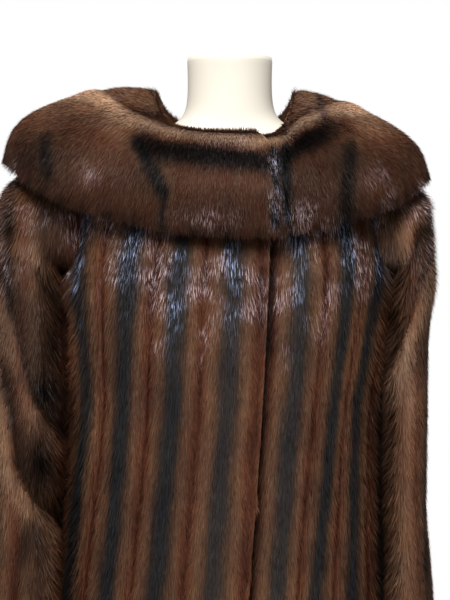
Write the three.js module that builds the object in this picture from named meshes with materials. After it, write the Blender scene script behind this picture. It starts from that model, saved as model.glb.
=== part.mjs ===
// Full-length fur coat with a wide portrait collar, worn by a limbless dress form on a stand.
// Millimetres, +Z up, the coat's front faces -Y, and the wearer's left is +X.
// A fur wall is skin and laid pile together, so its outer face is where the hair ends.
import * as THREE from 'three';

// Driving dimensions of the coat
const furWall = 8;
const seamGap = 0.3;
const armholeGap = 0.8;
const layerGap = 2.2;
const hemZ = 270;
const underarmZ = 1168;
const shoulderTipZ = 1312;
const armholeCutAngle = THREE.MathUtils.degToRad(31);
const armholeBend = 110;
const neckline = { front: 1284, side: 1361, back: 1332 };
const frontEdge = { top: 47, bottom: -8 };
const underlapWidth = 72;
const overlapEase = 46;
const cuffZ = 700;
const straightTopZ = 1118;
const seat = 1.1;
const collarStep = 7;
const collarRound = 0.94;
const collarBend = 1.5;
const collarStepTurn = { from: 0.5, to: 0.1 };
const collarEnds = { right: 0.045, left: 0.062 };

// Cross sections of the coat from hem to neck: half width, half depth and centre of each
const trunkSections = [
  { z: 270, halfWidth: 262, halfDepth: 212, centreX: -10, centreY: 4, square: 2.15 },
  { z: 480, halfWidth: 232, halfDepth: 192, centreX: -10, centreY: 3, square: 2.15 },
  { z: 680, halfWidth: 204, halfDepth: 172, centreX: -9, centreY: 2, square: 2.2 },
  { z: 850, halfWidth: 196, halfDepth: 160, centreX: -7, centreY: 1, square: 2.25 },
  { z: 1000, halfWidth: 193, halfDepth: 150, centreX: -5, centreY: 0, square: 2.3 },
  { z: 1110, halfWidth: 195, halfDepth: 150, centreX: -3, centreY: 0, square: 2.3 },
  { z: 1170, halfWidth: 198, halfDepth: 146, centreX: -2, centreY: 1, square: 2.3 },
  { z: 1230, halfWidth: 201, halfDepth: 133, centreX: -1, centreY: 4, square: 2.3 },
  { z: 1275, halfWidth: 202, halfDepth: 113, centreX: 0, centreY: 7, square: 2.25 },
  { z: 1312, halfWidth: 196, halfDepth: 90, centreX: 0, centreY: 10, square: 2.2 },
  { z: 1330, halfWidth: 158, halfDepth: 79, centreX: 0, centreY: 11, square: 2.15 },
  { z: 1346, halfWidth: 119, halfDepth: 72, centreX: 0, centreY: 12, square: 2.1 },
  { z: 1361, halfWidth: 84, halfDepth: 66, centreX: 0, centreY: 12, square: 2 },
  { z: 1372, halfWidth: 70, halfDepth: 62, centreX: 0, centreY: 12, square: 2 },
];

// Soft vertical folds of the skirt: where each runs round the coat, its spread, depth and top
const skirtFolds = [
  { angle: -164, spread: 13, depth: 15, top: 980 },
  { angle: -128, spread: 11, depth: 13, top: 900 },
  { angle: -92, spread: 12, depth: 16, top: 860 },
  { angle: -57, spread: 10, depth: 12, top: 930 },
  { angle: -38, spread: 8, depth: 9, top: 860 },
  { angle: 33, spread: 8, depth: 11, top: 900 },
  { angle: 61, spread: 10, depth: 12, top: 950 },
  { angle: 95, spread: 12, depth: 16, top: 860 },
  { angle: 131, spread: 11, depth: 14, top: 940 },
  { angle: 162, spread: 12, depth: 13, top: 880 },
];

// Collar stations from the foot to the outer edge: half width w, how far x its sides lie to the right,
// reach f to the front and b to the back, heights zF in front, zS at the side and zB at the back,
// the slope down to the wearer's left at the side and its dip in front, and how the front is bent
const collarStations = [
  { w: 80, x: -6, f: 113, b: 88, zF: 1303, zS: 1394, zB: 1342, tilt: 0, dip: 0, bend: 1.5 },
  { w: 95, x: -8, f: 128, b: 102, zF: 1322, zS: 1401, zB: 1352, tilt: 0.01, dip: 0.06, bend: 1.2 },
  { w: 140, x: -11, f: 145, b: 126, zF: 1331, zS: 1397, zB: 1350, tilt: 0.04, dip: 0.09, bend: 1.1 },
  { w: 194, x: -14, f: 160, b: 152, zF: 1308, zS: 1379, zB: 1330, tilt: 0.05, dip: 0.07, bend: 1.2 },
  { w: 250, x: -17, f: 165, b: 171, zF: 1264, zS: 1346, zB: 1290, tilt: 0.05, dip: 0.05, bend: 1.4 },
  { w: 266, x: -17, f: 154, b: 173, zF: 1219, zS: 1305, zB: 1236, tilt: 0.04, dip: 0.03, bend: 1.5 },
];
// Soft dents across the collar, where its pelts join
const collarDents = [
  { angle: -31, spread: 4.5, depth: 6 },
  { angle: -66, spread: 6, depth: 5 },
  { angle: 38, spread: 5, depth: 5 },
  { angle: 66, spread: 6, depth: 5 },
  { angle: -120, spread: 8, depth: 5 },
  { angle: 120, spread: 8, depth: 5 },
  { angle: 176, spread: 8, depth: 4 },
];

// Sleeve sections over the shoulder: the highest and lowest point of each, and its half depth
const sleeveTurn = [
  { topX: 226, topZ: 1305, lowX: 203, lowZ: 1167, halfDepth: 79 },
  { topX: 260, topZ: 1297, lowX: 204, lowZ: 1161, halfDepth: 81 },
  { topX: 283, topZ: 1276, lowX: 200, lowZ: 1150, halfDepth: 82 },
  { topX: 293, topZ: 1230, lowX: 197, lowZ: 1131, halfDepth: 83 },
  { topX: 296, topZ: 1168, lowX: 194, lowZ: 1109, halfDepth: 83 },
];
const sleeveHang = {
  right: { widen: 1, height: 1, thickTop: 53, thickElbow: 55, thickCuff: 49, bow: 5 },
  left: { widen: 0.62, height: 0.88, thickTop: 33, thickElbow: 32, thickCuff: 35, bow: 0 },
};
const sleeveNest = 8;
const cuffOut = 2;
const sleeveDepth = { top: 82, cuff: 76 };
const sleeveClear = 1.6;
const sleeveCentreY = { top: 12, hanging: -12 };
const sleeveRestsBelow = 1166;
// Slanting folds of the sleeves: place along the sleeve, angle round it, slope, spread and depth
const sleeveFolds = {
  right: [
    { along: 0.33, angle: 150, slope: 70, spread: 0.045, depth: 12 },
    { along: 0.47, angle: 200, slope: -60, spread: 0.04, depth: 15 },
    { along: 0.6, angle: 150, slope: 65, spread: 0.045, depth: 16 },
    { along: 0.74, angle: 205, slope: -55, spread: 0.04, depth: 12 },
    { along: 0.52, angle: 20, slope: 60, spread: 0.04, depth: 9 },
  ],
  left: [
    { along: 0.36, angle: 160, slope: 60, spread: 0.045, depth: 6 },
    { along: 0.55, angle: 200, slope: -60, spread: 0.045, depth: 6 },
    { along: 0.72, angle: 150, slope: 55, spread: 0.04, depth: 6 },
    { along: 0.5, angle: -15, slope: 60, spread: 0.04, depth: 4 },
  ],
};

// How far round the sleeve a fold runs, in radians
const foldReach = 0.9;

// Driving dimensions of the dress form and its stand
const form = { bottomZ: 812, chestGap: 22, seatFrom: 1322, looseBelow: 1270 };
const formLevels = [812, 860, 930, 1010, 1090, 1150, 1200, 1240, 1270, 1295, 1312, 1323, 1334];
const neck = { y: 12, topZ: 1438, dip: 3 };
const neckRings = [
  { z: 1345, half: 98, deep: 59, tip: 0 },
  { z: 1353, half: 72, deep: 55, tip: 0 },
  { z: 1366, half: 57, deep: 53, tip: 0 },
  { z: 1388, half: 53, deep: 51, tip: 0 },
  { z: 1415, half: 53, deep: 50, tip: 1 },
  { z: neck.topZ, half: 54, deep: 52, tip: 3 },
];
const pole = { radius: 14, socketRadius: 24, socketLength: 46 };
const base = { radius: 190, thickness: 9, chamfer: 5, crown: 3, hubLow: 38, hubTop: 22, hubHeight: 34 };

// Numbers of steps in the meshes
const steps = {
  panelAngle: 2 * Math.PI / 58, collarAngle: 2 * Math.PI / 50, collarAcross: 11,
  sleeveRound: 20, sleeveRows: 14, formRound: 36, baseRound: 48, poleRound: 24,
};
const probe = { angle: 0.01, z: 0.5, across: 0.008 };

const smooth = (low, high, value) => THREE.MathUtils.smoothstep(value, low, high);
const { lerp, degToRad } = THREE.MathUtils;

// A number read off a table of rows by a smooth curve through them
function fromTable(rows, key, at, column) {
  const last = rows.length - 1;
  let i = 0;
  while (i < last - 1 && at > rows[i + 1][key]) i += 1;
  const share = THREE.MathUtils.clamp((at - rows[i][key]) / (rows[i + 1][key] - rows[i][key]), 0, 1);
  const slope = (n) => {
    const low = rows[Math.max(n - 1, 0)];
    const high = rows[Math.min(n + 1, last)];
    return (high[column] - low[column]) / (high[key] - low[key]);
  };
  const width = rows[i + 1][key] - rows[i][key];
  const [p0, p1] = [rows[i][column], rows[i + 1][column]];
  const [m0, m1] = [slope(i) * width, slope(i + 1) * width];
  const [s2, s3] = [share ** 2, share ** 3];
  const fromLow = (2 * s3 - 3 * s2 + 1) * p0 + (s3 - 2 * s2 + share) * m0;
  return fromLow + (3 * s2 - 2 * s3) * p1 + (s3 - s2) * m1;
}

const signedPower = (value, power) => Math.sign(value) * Math.abs(value) ** power;

// A bell-shaped bump of an angle in radians about a centre in degrees
function bump(angle, centre, spread) {
  const turn = Math.atan2(Math.sin(angle - degToRad(centre)), Math.cos(angle - degToRad(centre)));
  return Math.exp(-((turn / degToRad(spread)) ** 2));
}

// The bare surface of the coat: angle 0 is the front, and it grows towards +X
function bareTrunk(angle, z) {
  const read = (column) => fromTable(trunkSections, 'z', z, column);
  const power = 2 / read('square');
  const x = read('centreX') + read('halfWidth') * signedPower(Math.sin(angle), power);
  const y = read('centreY') - read('halfDepth') * signedPower(Math.cos(angle), power);
  return new THREE.Vector3(x, y, z);
}

function normalOf(surface, u, v, du, dv) {
  const across = surface(u + du, v).sub(surface(u - du, v));
  const along = surface(u, v + dv).sub(surface(u, v - dv));
  return across.cross(along).normalize();
}

// The bare surface's outward direction
const bareNormal = (angle, z) => normalOf(bareTrunk, angle, z, probe.angle, probe.z);

// The coat's outer surface: the bare one with the skirt's folds raised on it
function trunk(angle, z) {
  let lift = 0;
  for (const fold of skirtFolds) {
    const share = (fold.top - z) / (fold.top - hemZ);
    lift += fold.depth * bump(angle, fold.angle, fold.spread) * smooth(0, 1, share);
  }
  return bareTrunk(angle, z).addScaledVector(bareNormal(angle, z), lift);
}

// Height of the neckline at an angle
function necklineZ(angle) {
  const cos = Math.cos(angle);
  const end = cos > 0 ? neckline.front : neckline.back;
  return lerp(neckline.side, end, Math.abs(cos) ** 1.6);
}

// Levels of the rows from hem to neckline. Those beside the armhole follow its curve
const armholeMiddle = (underarmZ + shoulderTipZ) / 2;
const armholeRadius = (shoulderTipZ - underarmZ) / 2;
const armholeLevel = (i) => armholeMiddle - armholeRadius * Math.cos(2 * Math.PI * i / steps.sleeveRound);
const rowLevels = [
  hemZ, 350, 430, 510, 590, 670, 750, 830, 910, 990, 1060, 1120,
  ...Array.from({ length: steps.sleeveRound / 2 + 1 }, (_, i) => armholeLevel(i)),
  1323, 1336, 1349, neckline.side,
];

// A row keeps its level up to the underarm, and above it is drawn down with the neckline
function rowZ(level, angle) {
  if (level <= underarmZ) return level;
  const share = (level - underarmZ) / (neckline.side - underarmZ);
  const drawn = underarmZ + share * (necklineZ(angle) - underarmZ);
  return lerp(level, drawn, smooth(0, 1, share) ** 1.5);
}

// Half the armhole's opening, as an angle, on a row
function armholeHalf(level) {
  const share = (level - armholeMiddle) / armholeRadius;
  return Math.abs(share) > 0.999 ? 0 : armholeCutAngle * Math.sqrt(1 - share ** 2);
}

// Angle at which the coat's surface is at a given x, to the front
function frontAngleAt(x, z) {
  const halfWidth = fromTable(trunkSections, 'z', z, 'halfWidth');
  const centreX = fromTable(trunkSections, 'z', z, 'centreX');
  const power = fromTable(trunkSections, 'z', z, 'square') / 2;
  return Math.asin(signedPower((x - centreX) / halfWidth, power));
}

function edgeX(z) {
  return lerp(frontEdge.bottom, frontEdge.top, smooth(hemZ, neckline.front, z));
}

// Joins matching grids of outer and inner points into one closed wall
function wallMesh(name, material, outer, inner, closedRound = false) {
  const rows = outer.length;
  const columns = outer[0].length;
  const points = [...outer.flat(), ...inner.flat()];
  const at = (side, row, column) => side * rows * columns + row * columns + (column % columns);
  const index = [];
  const quad = (a, b, c, d) => index.push(a, b, c, a, c, d);
  const lastColumn = closedRound ? columns : columns - 1;
  for (let row = 0; row < rows - 1; row += 1) {
    for (let column = 0; column < lastColumn; column += 1) {
      quad(at(0, row, column), at(0, row, column + 1), at(0, row + 1, column + 1), at(0, row + 1, column));
      quad(at(1, row, column), at(1, row + 1, column), at(1, row + 1, column + 1), at(1, row, column + 1));
    }
  }
  for (let column = 0; column < lastColumn; column += 1) {
    quad(at(0, 0, column), at(1, 0, column), at(1, 0, column + 1), at(0, 0, column + 1));
    const top = rows - 1;
    quad(at(0, top, column), at(0, top, column + 1), at(1, top, column + 1), at(1, top, column));
  }
  if (!closedRound) {
    for (let row = 0; row < rows - 1; row += 1) {
      quad(at(0, row, 0), at(0, row + 1, 0), at(1, row + 1, 0), at(1, row, 0));
      const edge = columns - 1;
      quad(at(0, row, edge), at(1, row, edge), at(1, row + 1, edge), at(0, row + 1, edge));
    }
  }
  return meshOf(name, material, points, index);
}

function meshOf(name, material, points, index) {
  const geometry = new THREE.BufferGeometry();
  const places = points.flatMap((point) => point.toArray());
  geometry.setAttribute('position', new THREE.Float32BufferAttribute(places, 3));
  geometry.setIndex(index);
  geometry.computeVertexNormals();
  const mesh = new THREE.Mesh(geometry, material);
  mesh.name = name;
  return mesh;
}

// One panel of the coat between two edges, each an angle for every row, sunk where it is covered
function panel(name, material, startAngle, endAngle, shift = () => 0) {
  const outer = [];
  const inner = [];
  const widest = Math.max(...rowLevels.map((level) => endAngle(level) - startAngle(level)));
  const columns = Math.ceil(widest / steps.panelAngle) + 1;
  for (const level of rowLevels) {
    const [from, to] = [startAngle(level), endAngle(level)];
    const outerRow = [];
    const innerRow = [];
    for (let column = 0; column < columns; column += 1) {
      const angle = lerp(from, to, column / (columns - 1));
      const z = rowZ(level, angle);
      const normal = normalOf(trunk, angle, z, probe.angle, probe.z);
      const point = trunk(angle, z).addScaledVector(normal, shift(angle, z));
      outerRow.push(point);
      innerRow.push(point.clone().addScaledVector(normal, -furWall));
    }
    outer.push(outerRow);
    inner.push(innerRow);
  }
  return wallMesh(name, material, outer, inner);
}

// Half of a seam's gap, as an angle at the coat's side
const seamAngle = (level) => (seamGap / 2 + 0.1) / fromTable(trunkSections, 'z', level, 'halfDepth');
const side = Math.PI / 2;

// How far the left front sinks under the right one that covers it
function underlapSink(angle, z) {
  const edge = edgeX(z);
  return -(furWall + layerGap) * (1 - smooth(edge + 3, edge + overlapEase, bareTrunk(angle, z).x));
}

function coatPanels(material) {
  const edgeAngle = (level) => frontAngleAt(edgeX(rowZ(level, 0)), rowZ(level, 0));
  const hiddenAngle = (level) => frontAngleAt(edgeX(rowZ(level, 0)) - underlapWidth, rowZ(level, 0));
  const toSide = (level) => side - seamAngle(level) - armholeHalf(level);
  const fromSide = (level) => side + seamAngle(level) + armholeHalf(level);
  return [
    panel('front_right', material, (level) => -toSide(level), edgeAngle),
    panel('front_left', material, hiddenAngle, toSide, underlapSink),
    panel('back', material, fromSide, (level) => 2 * Math.PI - fromSide(level)),
  ];
}

// A point on the armhole's edge: turn 0 is the shoulder, and it grows towards the front
function armholeEdge(turn, sign) {
  const level = armholeMiddle + (armholeRadius - armholeGap) * Math.cos(turn);
  const open = (armholeCutAngle - armholeGap / armholeBend) * Math.sin(turn);
  const angle = sign * (side - open);
  return [angle, rowZ(level, angle)];
}

// Fold depth of a sleeve at a share of its length and an angle round it
function sleeveFoldDepth(sideName, along, turn) {
  let depth = 0;
  for (const fold of sleeveFolds[sideName]) {
    const from = turn - degToRad(fold.angle);
    const turned = Math.atan2(Math.sin(from), Math.cos(from));
    const line = fold.along + turned * fold.slope / (straightTopZ - cuffZ);
    const fade = Math.exp(-((turned / foldReach) ** 2));
    depth += fold.depth * fade * Math.exp(-(((along - line) / fold.spread) ** 2));
  }
  return depth;
}

// Highest and lowest points of a hanging sleeve's section at a share of its straight length
function hangingSection(sideName, share) {
  const hang = sleeveHang[sideName];
  const z = straightTopZ - share * (straightTopZ - cuffZ);
  const elbow = smooth(0, 0.45, share);
  const thick = lerp(lerp(hang.thickTop, hang.thickElbow, elbow), hang.thickCuff, smooth(0.5, 1, share));
  const away = hang.bow * Math.sin(Math.PI * share) + cuffOut * share;
  const lowX = fromTable(trunkSections, 'z', z, 'halfWidth') - sleeveNest + away;
  const halfDepth = lerp(sleeveDepth.top, sleeveDepth.cuff, share);
  return { topX: lowX + 2 * thick, topZ: z, lowX, lowZ: z, halfDepth };
}

// How far the coat's side reaches at a depth and a height
function trunkReach(y, z, sign) {
  let [front, back] = [0, Math.PI];
  for (let halving = 0; halving < 20; halving += 1) {
    const angle = (front + back) / 2;
    if (trunk(sign * angle, z).y < y) front = angle;
    else back = angle;
  }
  return sign * trunk(sign * front, z).x;
}

// A tube from the armhole's edge, over the shoulder and down, where it rests against the body
function sleeve(sideName, material) {
  const sign = sideName === 'left' ? 1 : -1;
  const step = sign * 2 * Math.PI / steps.sleeveRound;
  const turns = Array.from({ length: steps.sleeveRound }, (_, i) => i * step);
  const outer = [[]];
  const inner = [[]];
  for (const turn of turns) {
    const [angle, z] = armholeEdge(turn, sign);
    const point = trunk(angle, z);
    outer[0].push(point);
    const normal = normalOf(trunk, angle, z, probe.angle, probe.z);
    inner[0].push(point.clone().addScaledVector(normal, -furWall));
  }
  const { widen, height } = sleeveHang[sideName];
  const sections = sleeveTurn.map((row) => ({
    ...row, topX: lerp(row.lowX, row.topX, widen), topZ: lerp(row.lowZ, row.topZ, height),
  }));
  for (let row = 1; row <= steps.sleeveRows; row += 1) {
    sections.push(hangingSection(sideName, row / steps.sleeveRows));
  }
  sections.forEach((section, row) => {
    const centreX = fromTable(trunkSections, 'z', section.lowZ, 'centreX');
    const along = Math.max(0, (row - sleeveTurn.length + 1) / steps.sleeveRows);
    const centreY = lerp(sleeveCentreY.top, sleeveCentreY.hanging, smooth(0, 0.35, along));
    const top = new THREE.Vector3(centreX + sign * section.topX, centreY, section.topZ);
    const low = new THREE.Vector3(centreX + sign * section.lowX, centreY, section.lowZ);
    const centre = top.clone().lerp(low, 0.5);
    const upward = top.clone().sub(centre).normalize();
    const halfThick = top.distanceTo(centre);
    const place = (turn, shrink, wall) => {
      const point = centre.clone().addScaledVector(upward, (halfThick - shrink) * Math.cos(turn));
      point.y -= (section.halfDepth - shrink) * Math.sin(turn);
      if (point.z < sleeveRestsBelow) {
        const clear = trunkReach(point.y, point.z, sign) + sleeveClear + wall;
        point.x = sign * Math.max(sign * point.x, clear);
      }
      return point;
    };
    const deep = (turn) => sleeveFoldDepth(sideName, along, turn);
    outer.push(turns.map((turn) => place(turn, deep(turn), 0)));
    inner.push(turns.map((turn) => place(turn, deep(turn) + furWall, furWall)));
  });
  return wallMesh(`sleeve_${sideName}`, material, outer, inner, true);
}

// The collar's outer surface: across runs from 0 at the neckline to 1 at the outer edge
function collarSurface(angle, across) {
  const [sin, cos] = [Math.sin(angle), Math.cos(angle)];
  const foot = bareTrunk(angle, necklineZ(angle) + seamGap + 0.2);
  const stations = [foot];
  for (const row of collarStations) {
    const reach = cos > 0 ? row.f : row.b;
    const zEnd = cos > 0 ? row.zF : row.zB;
    const x = row.x * Math.abs(sin) + row.w * signedPower(sin, collarRound);
    const turned = Math.abs(cos) ** (cos > 0 ? row.bend : collarBend);
    const tilt = cos > 0 ? lerp(row.tilt, row.dip, turned) : row.tilt;
    const z = lerp(row.zS, zEnd, turned) - tilt * x;
    stations.push(new THREE.Vector3(x, -reach * signedPower(cos, collarRound), z));
  }
  const curve = new THREE.CatmullRomCurve3(stations, false, 'centripetal');
  return curve.getPoint(across);
}

function collarHalf(name, material, startAngle, endAngle, raise = () => 0) {
  const columns = Math.ceil((endAngle - startAngle) / steps.collarAngle) + 1;
  const outer = [];
  const inner = [];
  for (let row = 0; row <= steps.collarAcross; row += 1) {
    const across = row / steps.collarAcross;
    const outerRow = [];
    const innerRow = [];
    for (let column = 0; column < columns; column += 1) {
      const angle = lerp(startAngle, endAngle, column / (columns - 1));
      const at = THREE.MathUtils.clamp(across, 0.01, 0.99);
      const normal = normalOf(collarSurface, angle, at, probe.angle, probe.across).negate();
      let lift = raise(angle) * smooth(0.25, 0.5, across);
      for (const dent of collarDents) {
        lift -= dent.depth * bump(angle, dent.angle, dent.spread) * smooth(0.35, 0.6, across);
      }
      const point = collarSurface(angle, across).addScaledVector(normal, lift);
      outerRow.push(point);
      innerRow.push(point.clone().addScaledVector(normal, -furWall));
    }
    outer.unshift(outerRow);
    inner.unshift(innerRow);
  }
  return wallMesh(name, material, outer, inner);
}

// The right half laps over the left one at the front edge, and both meet at the centre back
function collarHalves(material) {
  const frontEnd = frontAngleAt(frontEdge.top, neckline.front);
  const backEnd = seamGap / collarStations[0].b;
  const [low, high] = [frontEnd - collarStepTurn.from, frontEnd - collarStepTurn.to];
  const raise = (angle) => collarStep * smooth(low, high, angle);
  return [
    collarHalf('collar_right', material, -Math.PI + backEnd, frontEnd + collarEnds.right, raise),
    collarHalf('collar_left', material, frontEnd + collarEnds.left, Math.PI - backEnd),
  ];
}

// The dress form's surface: seated under the coat's shoulders and loose of it below them
function formPoint(angle, z) {
  const loose = form.chestGap * (1 - smooth(form.looseBelow, form.seatFrom, z));
  const point = bareTrunk(angle, z).addScaledVector(bareNormal(angle, z), -(furWall + seat + loose));
  point.z = Math.max(point.z, form.bottomZ);
  return point;
}

function closedRings(name, material, rings, bottomCentre, topCentre) {
  const round = rings[0].length;
  const points = [...rings.flat(), bottomCentre, topCentre];
  const bottom = points.length - 2;
  const top = points.length - 1;
  const index = [];
  for (let column = 0; column < round; column += 1) {
    const next = (column + 1) % round;
    index.push(bottom, next, column);
    for (let row = 0; row < rings.length - 1; row += 1) {
      const [a, b] = [row * round + column, row * round + next];
      index.push(a, b, b + round, a, b + round, a + round);
    }
    const last = (rings.length - 1) * round;
    index.push(top, last + column, last + next);
  }
  return meshOf(name, material, points, index);
}

// Torso with a neck whose top dips a little between its sides
function formTorso(material) {
  const step = 2 * Math.PI / steps.formRound;
  const ring = (place) => Array.from({ length: steps.formRound }, (_, i) => place(i * step));
  const rings = formLevels.map((z) => ring((angle) => formPoint(angle, z)));
  for (const row of neckRings) {
    rings.push(ring((angle) => new THREE.Vector3(
      row.half * Math.sin(angle),
      neck.y - row.deep * Math.cos(angle),
      row.z + row.tip * (Math.abs(Math.sin(angle)) - 0.6),
    )));
  }
  const bottomCentre = new THREE.Vector3(trunkSections[3].centreX, 0, form.bottomZ);
  const topCentre = new THREE.Vector3(0, neck.y, neck.topZ - neck.dip);
  return closedRings('form_torso', material, rings, bottomCentre, topCentre);
}

// A turned piece about the stand's axis, from radius and height pairs
function turned(name, material, profile, round) {
  const geometry = new THREE.LatheGeometry(profile.map(([r, z]) => new THREE.Vector2(r, z)), round);
  geometry.rotateX(side);
  const mesh = new THREE.Mesh(geometry, material);
  mesh.name = name;
  return mesh;
}

function stand(material) {
  const hubTop = base.thickness + base.hubHeight;
  const socketBottom = form.bottomZ - seamGap - pole.socketLength;
  const plate = turned('stand_base', material, [
    [0, 0], [base.radius, 0], [base.radius, base.thickness - base.chamfer],
    [base.radius - base.chamfer, base.thickness], [base.hubLow, base.thickness + base.crown],
    [base.hubTop, hubTop], [0, hubTop],
  ], steps.baseRound);
  const tube = turned('stand_pole', material, [
    [0, hubTop + seamGap], [pole.radius, hubTop + seamGap],
    [pole.radius, socketBottom - seamGap], [0, socketBottom - seamGap],
  ], steps.poleRound);
  const socket = turned('stand_socket', material, [
    [0, socketBottom], [pole.socketRadius, socketBottom],
    [pole.socketRadius, form.bottomZ - seamGap], [0, form.bottomZ - seamGap],
  ], steps.poleRound);
  return [plate, tube, socket];
}

const furBrown = new THREE.MeshStandardMaterial({ color: 0x4a2f22, roughness: 0.55, metalness: 0 });
const formCream = new THREE.MeshStandardMaterial({ color: 0xf0e8d8, roughness: 0.85, metalness: 0 });
const steel = new THREE.MeshStandardMaterial({ color: 0xb8b8b8, roughness: 0.3, metalness: 1 });

const coat = new THREE.Group();
coat.add(...coatPanels(furBrown));
coat.add(sleeve('right', furBrown), sleeve('left', furBrown));
coat.add(...collarHalves(furBrown));
coat.add(formTorso(formCream), ...stand(steel));

// The part stands on the middle of its own outline
const outline = new THREE.Box3().setFromObject(coat);
const middle = outline.getCenter(new THREE.Vector3());
coat.position.set(-middle.x, -middle.y, -outline.min.z);

export default coat;
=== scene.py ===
# Fur coat on a dress form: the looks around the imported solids, in metres
# Each piece of the coat is a thin skin in its solid's place, with hair strands grown on it
import math

import bmesh
import bpy
import numpy as np
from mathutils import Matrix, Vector, kdtree


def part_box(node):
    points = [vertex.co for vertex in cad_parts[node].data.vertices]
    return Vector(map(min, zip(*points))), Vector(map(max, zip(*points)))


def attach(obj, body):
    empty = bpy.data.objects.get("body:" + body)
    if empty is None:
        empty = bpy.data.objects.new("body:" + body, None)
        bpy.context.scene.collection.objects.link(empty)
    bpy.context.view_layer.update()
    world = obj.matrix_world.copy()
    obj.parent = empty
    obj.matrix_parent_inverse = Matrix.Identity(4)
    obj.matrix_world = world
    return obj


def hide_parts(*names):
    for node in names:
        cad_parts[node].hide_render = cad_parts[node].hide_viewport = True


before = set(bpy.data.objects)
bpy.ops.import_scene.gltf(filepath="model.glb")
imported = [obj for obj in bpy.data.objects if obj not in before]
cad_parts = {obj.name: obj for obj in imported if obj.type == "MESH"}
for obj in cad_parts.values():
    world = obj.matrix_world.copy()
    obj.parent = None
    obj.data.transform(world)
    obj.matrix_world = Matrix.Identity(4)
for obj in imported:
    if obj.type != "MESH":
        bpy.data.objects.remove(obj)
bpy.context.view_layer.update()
poleLow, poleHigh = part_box("stand_pole")
axisX = (poleLow.x + poleHigh.x) / 2
axisY = (poleLow.y + poleHigh.y) / 2
print("frame loaded, stand axis at", round(axisX, 4), round(axisY, 4))

# where the photo was taken from
photoEye = (axisX - 0.006, -1.80, 1.19)

# corners of a solid nearer each other than this are one
weldDistance = 2e-5

# steps of a measured round
turnSteps = 720


# small helpers for node trees
def addNode(tree, kind, inputs=None, **settings):
    node = tree.nodes.new(kind)
    for name, value in settings.items():
        setattr(node, name, value)
    for name, value in (inputs or {}).items():
        feed(tree, node, name, value)
    return node


def feed(tree, node, name, value):
    socket = node.inputs[name]
    if isinstance(value, bpy.types.NodeSocket):
        tree.links.new(value, socket)
    else:
        socket.default_value = value


def calc(tree, operation, *values):
    node = tree.nodes.new("ShaderNodeMath")
    node.operation = operation
    for place, value in enumerate(values):
        feed(tree, node, place, value)
    return node.outputs[0]


def vectorCalc(tree, operation, *values, scale=None):
    node = tree.nodes.new("ShaderNodeVectorMath")
    node.operation = operation
    for place, value in enumerate(values):
        feed(tree, node, place, value)
    if scale is not None:
        feed(tree, node, "Scale", scale)
    return node.outputs[0]


# a colour ramp through stops: each a place from 0 to 1 and its colour
def colourRamp(tree, value, stops):
    ramp = addNode(tree, "ShaderNodeValToRGB", {"Fac": value})
    elements = ramp.color_ramp.elements
    for n, (position, colour) in ((0, stops[0]), (1, stops[-1])):
        elements[n].position = position
        elements[n].color = (*colour, 1)
    for position, colour in stops[1:-1]:
        elements.new(position).color = (*colour, 1)
    return ramp.outputs["Color"]


# a strand's chances: low, high and a number of its own for the seed
strandChances = {
    "lift": (0.35, 1.65, 11),
    "roll": (-1, 1, 23),
    "length": (0.55, 1.2, 37),
    "tone": (0, 1, 51),
}


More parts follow.
